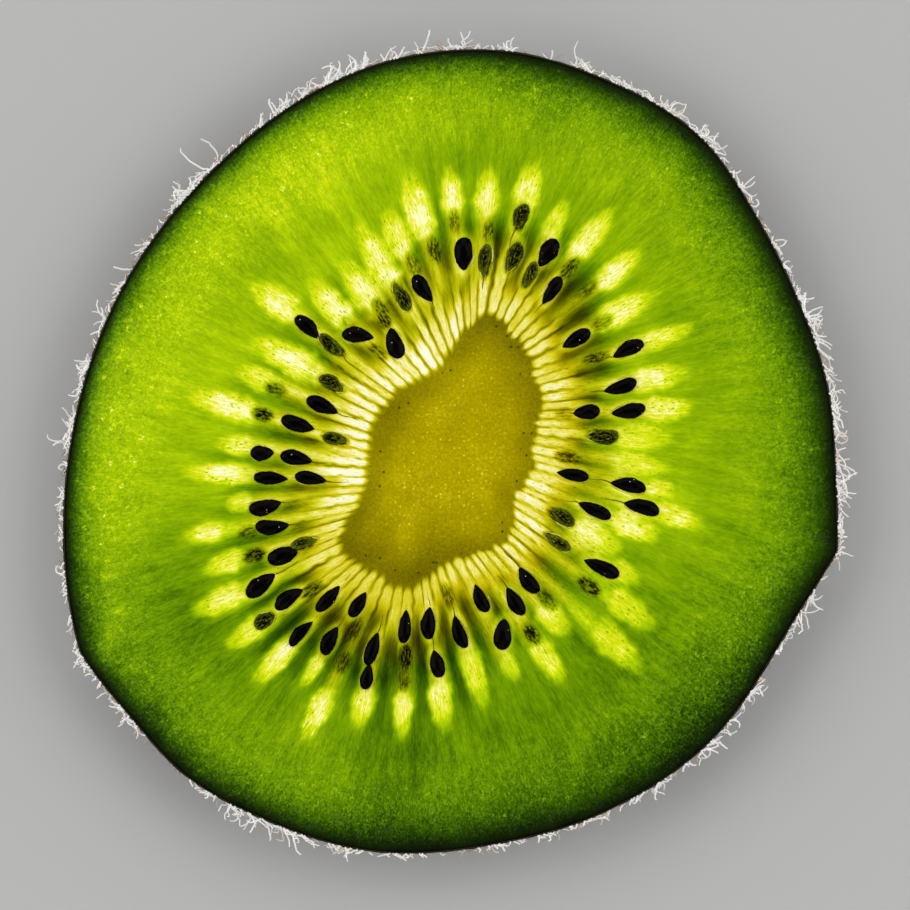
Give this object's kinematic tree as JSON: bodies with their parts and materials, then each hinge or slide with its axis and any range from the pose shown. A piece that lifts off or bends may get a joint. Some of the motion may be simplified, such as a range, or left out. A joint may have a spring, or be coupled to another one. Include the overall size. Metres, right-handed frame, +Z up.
{
  "type": "kiwi slice",
  "caption": "Round crosswise slice of fresh kiwi, with skin, green flesh, pale core and black seeds, lying flat.",
  "frame": {"origin": "middle of the bounding box, on the plane that the slice rests on", "axes": "+Z up out of the larger cut face, +Y towards the narrow upper end of the core, +X to the right seen from above"},
  "size_m": [0.0518, 0.0538, 0.0054],
  "materials": {
    "flesh": "moist",
    "core": "moist",
    "seed": "wet gloss",
    "skin": "dry and felted",
    "hair": "dry"
  },
  "bodies": {
    "root": {"flesh": "flesh", "core": "core"}
  },
  "joints": []
}
